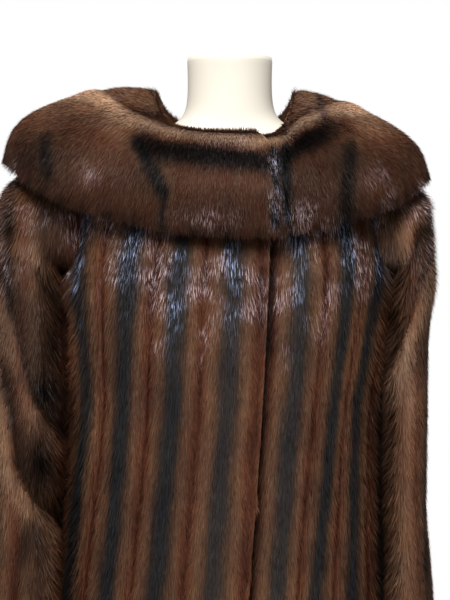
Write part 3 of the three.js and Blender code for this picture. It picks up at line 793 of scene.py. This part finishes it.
# fur of each kind of piece, in metres, and how many strands each piece has in full renders
furLook = {
    "pile": 0.0035,
    "skin": 0.0015,
    "sideFluff": 2.2,
    "body": {"length": 0.015, "width": 0.0010, "lift": 0.16, "scatter": 0.060},
    "sleeve": {"length": 0.016, "width": 0.0011, "lift": 0.18, "scatter": 0.070},
    "collar": {"length": 0.012, "width": 0.0009, "lift": 0.22, "scatter": 0.095},
    "roll": math.radians(34),
    "strands": {
        "front_right": 180000,
        "front_left": 150000,
        "back": 140000,
        "sleeve_right": 120000,
        "sleeve_left": 75000,
        "collar_right": 140000,
        "collar_left": 100000,
    },
    "mostPaintedSheen": 2,
    "firstSeed": 3,
    "seedStep": 7,
    "sparse": 0.5,
    "shownAbove": (0.62, 0.72),
    "shownFacing": (-0.4, -0.1),
    "borderLean": 0.7,
    "borderReach": 0.010,
    "quick": 0.4,
}


# the fur's colours: across a pelt from its dark stripe to its join, the golden tan of painted light, and
# the painted sheen on the hairs' tips
furPaint = {
    "pelt": (
        (0.10, (0.017, 0.0165, 0.018)),
        (0.24, (0.027, 0.020, 0.017)),
        (0.40, (0.068, 0.034, 0.020)),
        (0.60, (0.108, 0.054, 0.031)),
        (0.84, (0.084, 0.028, 0.014)),
        (1.0, (0.030, 0.008, 0.004)),
    ),
    "clouds": ((0.35, (0.74, 0.72, 0.74)), (0.68, (1.20, 1.14, 1.05))),
    "golden": (0.108, 0.066, 0.041),
    "goldenFrom": (1.0, 2.2),
    "wander": (0.20, -0.10),
    "toneLight": (0.55, 0.72),
    "tipLight": (0.5, 0.7),
    "sheenAlongHair": (0.15, 0.8),
    "sheenTones": (0.68, 0.98),
    "sheenPatches": (0.40, 0.62),
    "sheenOnDark": (0.56, 0.66, 1.0),
    "sheenOnBrown": (0.78, 0.60, 0.64),
    "brownFrom": (0.08, 0.24),
}


def furFinish(name, depth):
    material = bpy.data.materials.new(name)
    material.use_nodes = True
    tree = material.node_tree
    tree.nodes.clear()

    def attribute(label):
        node = addNode(tree, "ShaderNodeAttribute", attribute_name=label, attribute_type="GEOMETRY")
        return node.outputs["Fac"]

    def span(value, low, high):
        node = addNode(tree, "ShaderNodeMapRange", {"Value": value, "From Min": low, "From Max": high})
        return node.outputs[0]

    def noise(place, scale, detail):
        node = addNode(tree, "ShaderNodeTexNoise", {"Vector": place, "Scale": scale, "Detail": detail})
        return node.outputs["Fac"]

    def mixed(share, first, second, blend="MIX"):
        node = addNode(tree, "ShaderNodeMix", {0: share, 6: first, 7: second}, data_type="RGBA",
                       blend_type=blend)
        return node.outputs[2]

    # brown pelts with dark stripes, cloudy, each hair of its own tone and lighter to its tip, times the
    # shade attribute with its painted light and shade; golden tan where painted light lifts the shade
    # above 1
    place = addNode(tree, "ShaderNodeTexCoord").outputs["Object"]
    streaks = addNode(tree, "ShaderNodeMapping", {"Vector": place, "Scale": (90, 90, 12)})
    wander = calc(tree, "MULTIPLY_ADD", noise(streaks.outputs[0], 1.0, 2.0), *furPaint["wander"])
    beside = calc(tree, "ADD", attribute("pelt"), wander)
    stripe = colourRamp(tree, calc(tree, "MULTIPLY", beside, 2.0), furPaint["pelt"])
    warmth = colourRamp(tree, noise(place, 14.0, 2.0), furPaint["clouds"])
    goldenShare = span(attribute("shade"), *furPaint["goldenFrom"])
    golden = mixed(goldenShare, stripe, (*furPaint["golden"], 1))
    clouded = mixed(1.0, golden, warmth, "MULTIPLY")
    tone = calc(tree, "MULTIPLY_ADD", attribute("tone"), *furPaint["toneLight"])
    tipLight = calc(tree, "MULTIPLY_ADD", attribute("tip"), *furPaint["tipLight"])
    shade = calc(tree, "MULTIPLY", calc(tree, "MULTIPLY", attribute("shade"), tone), depth)
    toned = vectorCalc(tree, "SCALE", clouded, scale=calc(tree, "MULTIPLY", shade, tipLight))

    # painted sheen on the hair tips: bluish on the dark stripes, pink on the brown
    sheenHairs = calc(tree, "MULTIPLY", span(attribute("tip"), *furPaint["sheenAlongHair"]),
                 span(attribute("tone"), *furPaint["sheenTones"]))
    sheenHairs = calc(tree, "MULTIPLY", sheenHairs, span(noise(place, 26.0, 1.0), *furPaint["sheenPatches"]))
    onBrown = span(beside, *furPaint["brownFrom"])
    pale = mixed(onBrown, (*furPaint["sheenOnDark"], 1), (*furPaint["sheenOnBrown"], 1))
    sheened = mixed(calc(tree, "MULTIPLY", sheenHairs, attribute("paintedSheen")), toned, pale)
    shader = addNode(tree, "ShaderNodeBsdfPrincipled", {
        "Base Color": sheened,
        "Roughness": 0.45,
        "Specular IOR Level": 0.08,
    })
    addNode(tree, "ShaderNodeOutputMaterial", {"Surface": shader.outputs[0]})
    return material


strands = strandTree()
furMaterial = furFinish("laidFur", 1.0)
# the skin under the strands at half brightness: painted shade beneath the hair
skinMaterial = furFinish("underFurPaintedShade", 0.5)
print("strand tree and fur finishes made")


def setModifierInput(modifier, tree, name, value):
    for item in tree.interface.items_tree:
        if item.item_type == "SOCKET" and item.in_out == "INPUT" and item.name == name:
            modifier[item.identifier] = value


# a sheet moved down to the skin, marked with its pelts, their tones with painted light and shade, its
# painted sheen and the way its hair lies
def markedSheet(mesh, layout, borders):
    points = readVectors(mesh.vertices, "co")
    normals = readVectors(mesh.vertex_normals, "vector")
    laid = layout(points, normals)
    toBorder = nearest(borders, points) - points
    away = np.linalg.norm(toBorder, axis=1)
    lean = furLook["borderLean"] * laid["lean"] * np.exp(-((away / furLook["borderReach"]) ** 2))
    flow = onSurface(laid["flow"] + lean[:, None] * unit(toBorder), normals)
    shown = stepUp(points[:, 2], *furLook["shownAbove"])
    shown *= stepUp(-normals[:, 1], *furLook["shownFacing"])
    points += normals * (laid["rise"] - furLook["pile"])[:, None]
    mesh.vertices.foreach_set("co", points.astype(np.float32).ravel())
    storeAttribute(mesh, "pelt", "FLOAT", laid["pelt"])
    storeAttribute(mesh, "shade", "FLOAT", laid["shade"])
    storeAttribute(mesh, "pile", "FLOAT", laid["pile"])
    storeAttribute(mesh, "fluff", "FLOAT", 1 + furLook["sideFluff"] * laid["fluff"])
    storeAttribute(mesh, "paintedSheen", "FLOAT", np.clip(laid["paintedSheen"], 0, furLook["mostPaintedSheen"]))
    storeAttribute(mesh, "flow", "FLOAT_VECTOR", flow)
    storeAttribute(mesh, "cover", "FLOAT", furLook["sparse"] + (1 - furLook["sparse"]) * shown)
    mesh.update()


# strands a square metre where the cover is full
def fullDensity(mesh, strandCount):
    cover = np.zeros(len(mesh.vertices), np.float32)
    mesh.attributes["cover"].data.foreach_get("value", cover)
    inEdgeShadow = sum(face.area * cover[list(face.vertices)].mean() for face in mesh.polygons)
    return strandCount / inEdgeShadow


def growFur(name, mesh, look, strandCount, seed):
    field = objectFrom(name + "_field", mesh)
    grown = field.modifiers.new("strands", "NODES")
    grown.node_group = strands
    amount = fullDensity(mesh, strandCount) * 1
    for label, value in (
        ("Density", float(amount)),
        ("Length", look["length"]),
        ("Width", look["width"]),
        ("Lift", look["lift"]),
        ("Scatter", look["scatter"]),
        ("Roll", furLook["roll"]),
        ("Seed", seed),
        ("Finish", furMaterial),
    ):
        setModifierInput(grown, strands, label, value)
    fur = objectFrom(name, evaluated(field))
    bpy.data.objects.remove(field)
    for unused in ("flow", "cover", "pile", "fluff"):
        layer = fur.data.attributes.get(unused)
        if layer:
            fur.data.attributes.remove(layer)
    return fur


def skinShell(name, mesh):
    shell = objectFrom(name, mesh)
    wall = shell.modifiers.new("wall", "SOLIDIFY")
    wall.thickness = furLook["skin"]
    wall.offset = -1
    mesh = evaluated(shell)
    shell.modifiers.remove(wall)
    shell.data = mesh
    mesh.materials.clear()
    mesh.materials.append(skinMaterial)
    shadeSmooth(mesh)
    return shell


def dressPiece(node, layout, look, seed):
    sheet = outerSheet(node)
    borders = treeOf([vertex.co for vertex in sheet.verts if vertex.is_boundary])
    base = bpy.data.meshes.new(node + "_sheet")
    sheet.to_mesh(base)
    sheet.free()
    fine = smoothed(node + "_fine", base.copy(), level=2)
    coarse = smoothed(node + "_coarse", base, level=1)
    markedSheet(fine, layout, borders)
    markedSheet(coarse, layout, borders)
    fur = growFur(node + "_fur", fine, look, furLook["strands"][node], seed)
    skin = skinShell(node + "_skin", coarse)
    print(node, "strands", len(fur.data.polygons), "skin faces", len(skin.data.polygons))
    return skin, fur


coat = {}
seed = furLook["firstSeed"]
for layoutOf, look, nodes in (
    (bodyLayout, "body", ("front_right", "front_left", "back")),
    (sleeveLayout, "sleeve", ("sleeve_right", "sleeve_left")),
    (collarLayout, "collar", ("collar_right", "collar_left")),
):
    for node in nodes:
        coat[node] = dressPiece(node, layoutOf(node), furLook[look], seed)
        seed += furLook["seedStep"]
print("coat dressed")


# the dress form: its solid rounded, in stretched jersey
formLook = {
    "jersey": ((0.0, (0.60, 0.55, 0.46)), (1.0, (0.68, 0.64, 0.56))),
    "creaseFrom": math.radians(50),
    "crease": 0.75,
    "flatFaces": math.radians(30),
    "evenFaces": math.radians(60),
}


def jerseyFinish():
    material = bpy.data.materials.new("creamJersey")
    material.use_nodes = True
    tree = material.node_tree
    tree.nodes.clear()
    place = addNode(tree, "ShaderNodeTexCoord").outputs["Object"]
    ribs = addNode(tree, "ShaderNodeTexWave", {
        "Vector": place, "Scale": 240.0, "Distortion": 1.5, "Detail": 1.0,
    })
    mottle = addNode(tree, "ShaderNodeTexNoise", {"Vector": place, "Scale": 9.0, "Detail": 3.0})
    raised = addNode(tree, "ShaderNodeBump", {
        "Height": ribs.outputs["Fac"], "Strength": 0.12, "Distance": 0.0004,
    })
    shader = addNode(tree, "ShaderNodeBsdfPrincipled", {
        "Base Color": colourRamp(tree, mottle.outputs["Fac"], formLook["jersey"]),
        "Roughness": 0.85,
        "Normal": raised.outputs["Normal"],
    })
    addNode(tree, "ShaderNodeOutputMaterial", {"Surface": shader.outputs[0]})
    return material


def formCover():
    shape = bmesh.new()
    shape.from_mesh(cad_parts["form_torso"].data)
    bmesh.ops.remove_doubles(shape, verts=shape.verts, dist=weldDistance)
    shape.normal_update()
    crease = shape.edges.layers.float.new("crease_edge")
    for edge in shape.edges:
        if edge.calc_face_angle(0) > formLook["creaseFrom"]:
            edge[crease] = formLook["crease"]
    bmesh.ops.join_triangles(
        shape, faces=shape.faces,
        angle_face_threshold=formLook["flatFaces"], angle_shape_threshold=formLook["evenFaces"],
    )
    mesh = bpy.data.meshes.new("form_sheet")
    shape.to_mesh(mesh)
    shape.free()
    cover = objectFrom("form_cover", smoothed("form_round", mesh, level=2))
    cover.data.materials.clear()
    cover.data.materials.append(jerseyFinish())
    shadeSmooth(cover.data)
    return cover


form = formCover()
print("form covered")


# steel stand: each solid's profile turned finely about the stand's axis
standLook = {
    "plateThickness": 0.009,
    "plateBevel": 0.001,
    "edgeRound": 0.0035,
    "hubLow": 0.038,
    "hubTop": 0.022,
    "hubBevel": 0.002,
    "flareFoot": 0.003,
    "lip": 0.0015,
    "baseSteps": 96,
    "poleSteps": 64,
    "sharpFrom": math.radians(32),
}


def steelFinish():
    material = bpy.data.materials.new("brushedSteel")
    material.use_nodes = True
    tree = material.node_tree
    tree.nodes.clear()
    place = addNode(tree, "ShaderNodeTexCoord").outputs["Object"]
    grain = addNode(tree, "ShaderNodeMapping", {"Vector": place, "Scale": (40, 40, 900)})
    streaks = addNode(tree, "ShaderNodeTexNoise", {
        "Vector": grain.outputs[0], "Scale": 3.0, "Detail": 2.0,
    })
    rough = addNode(tree, "ShaderNodeMapRange", {
        "Value": streaks.outputs["Fac"], "To Min": 0.24, "To Max": 0.42,
    })
    shader = addNode(tree, "ShaderNodeBsdfPrincipled", {
        "Base Color": (0.62, 0.62, 0.63, 1),
        "Metallic": 1.0,
        "Roughness": rough.outputs[0],
    })
    addNode(tree, "ShaderNodeOutputMaterial", {"Surface": shader.outputs[0]})
    return material


# a profile of radius and height, closed where its radius is 0, turned about the stand's axis
def turnedPiece(name, profile, material, steps):
    shape = bmesh.new()
    rings = []
    for radius, z in profile:
        if radius == 0:
            rings.append([shape.verts.new((axisX, axisY, z))] * steps)
            continue
        rings.append([
            shape.verts.new((
                axisX + radius * math.cos(2 * math.pi * n / steps),
                axisY + radius * math.sin(2 * math.pi * n / steps),
                z,
            ))
            for n in range(steps)
        ])
    for lower, upper in zip(rings, rings[1:]):
        for n in range(steps):
            corners = [lower[n], lower[(n + 1) % steps], upper[(n + 1) % steps], upper[n]]
            shape.faces.new(list(dict.fromkeys(corners)))
    mesh = bpy.data.meshes.new(name)
    bmesh.ops.recalc_face_normals(shape, faces=shape.faces)
    shape.to_mesh(mesh)
    shape.free()
    piece = objectFrom(name, mesh)
    mesh.materials.append(material)
    shadeSmooth(mesh)
    mesh.set_sharp_from_angle(angle=standLook["sharpFrom"])
    return piece


def makeStand():
    steel = steelFinish()
    baseLow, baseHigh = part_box("stand_base")
    socketLow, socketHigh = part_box("stand_socket")
    radius = (baseHigh.x - baseLow.x) / 2
    top = baseHigh.z
    thick, rounding, bevel = (standLook[key] for key in ("plateThickness", "edgeRound", "plateBevel"))
    corner = [
        (radius - rounding + rounding * math.cos(a), thick - rounding + rounding * math.sin(a))
        for a in np.linspace(0, math.pi / 2, 6)
    ]
    hubLow, hubTop, hubBevel = (standLook[key] for key in ("hubLow", "hubTop", "hubBevel"))
    flareLow = thick + standLook["flareFoot"]
    flareTop = top - hubBevel
    flare = [
        (hubLow - (hubLow - hubTop) * math.sin(a), flareTop - (flareTop - flareLow) * math.cos(a))
        for a in np.linspace(0, math.pi / 2, 9)
    ]
    base = turnedPiece("stand_foot", [
        (0, 0), (radius - bevel, 0), (radius, bevel), *corner, *flare, (hubTop - hubBevel, top), (0, top),
    ], steel, standLook["baseSteps"])
    poleRadius = (poleHigh.x - poleLow.x) / 2
    pole = turnedPiece("stand_tube", [
        (0, poleLow.z), (poleRadius, poleLow.z), (poleRadius, poleHigh.z), (0, poleHigh.z),
    ], steel, standLook["poleSteps"])
    socketRadius = (socketHigh.x - socketLow.x) / 2
    lip = standLook["lip"]
    socket = turnedPiece("stand_collar", [
        (0, socketLow.z), (socketRadius - lip, socketLow.z), (socketRadius, socketLow.z + lip),
        (socketRadius, socketHigh.z - lip), (socketRadius - lip, socketHigh.z), (0, socketHigh.z),
    ], steel, standLook["poleSteps"])
    return {"stand_base": base, "stand_pole": pole, "stand_socket": socket}


stand = makeStand()
print("stand made")


# plain pale floor, soft light and the camera
studio = {
    "eye": photoEye,
    "frameHeight": 0.75,
    "frameMiddle": 1.135,
    "keyPlace": (-0.25, -1.85, 2.95),
    "keySize": 1.3,
    "keyPower": 105,
    "keyAim": 1.2,
    "sky": 0.42,
    "floorReach": 6,
    "floorBehind": 2.4,
    "floorGrey": 0.84,
    "sensor": 24,
}


def makeStudio():
    floorMesh = bpy.data.meshes.new("floor")
    reach, behind = studio["floorReach"], studio["floorBehind"]
    corners = [(-reach, -reach, 0), (reach, -reach, 0), (reach, behind, 0), (-reach, behind, 0)]
    floorMesh.from_pydata(corners, [], [(0, 1, 2, 3)])
    floor = objectFrom("floor", floorMesh)
    paint = bpy.data.materials.new("paleFloor")
    paint.use_nodes = True
    shader = paint.node_tree.nodes["Principled BSDF"]
    shader.inputs["Base Color"].default_value = (*[studio["floorGrey"]] * 3, 1)
    shader.inputs["Roughness"].default_value = 0.7
    floorMesh.materials.append(paint)

    world = bpy.data.worlds.new("studio")
    world.use_nodes = True
    sky = world.node_tree
    shown = addNode(sky, "ShaderNodeLightPath").outputs["Is Camera Ray"]
    strength = calc(sky, "MULTIPLY_ADD", shown, 1 - studio["sky"], studio["sky"])
    feed(sky, sky.nodes["Background"], "Color", (1, 1, 1, 1))
    feed(sky, sky.nodes["Background"], "Strength", strength)
    bpy.context.scene.world = world

    key = bpy.data.lights.new("key", "AREA")
    key.size = studio["keySize"]
    key.energy = studio["keyPower"]
    lamp = objectFrom("key", key)
    lamp.location = studio["keyPlace"]
    aim = Vector((axisX, axisY, studio["keyAim"])) - lamp.location
    lamp.rotation_euler = aim.to_track_quat("-Z", "Y").to_euler()

    eye = Vector(studio["eye"])
    lens = bpy.data.cameras.new("photoCamera")
    lens.sensor_fit = "VERTICAL"
    lens.sensor_height = studio["sensor"]
    away = abs(eye.y - axisY)
    lens.lens = studio["sensor"] * away / studio["frameHeight"]
    lens.shift_y = (studio["frameMiddle"] - eye.z) / studio["frameHeight"]
    camera = objectFrom("photoCamera", lens)
    camera.location = eye
    camera.rotation_euler = (math.pi / 2, 0, 0)
    bpy.context.scene.camera = camera
    bpy.context.scene.view_settings.view_transform = "Standard"


makeStudio()

# who stands for what, and what lies on what
for node, (skin, fur) in coat.items():
    for piece in (skin, fur):
        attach(piece, "root")
    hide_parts(node)
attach(form, "root")
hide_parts("form_torso")
for node, piece in stand.items():
    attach(piece, "root")
    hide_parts(node)
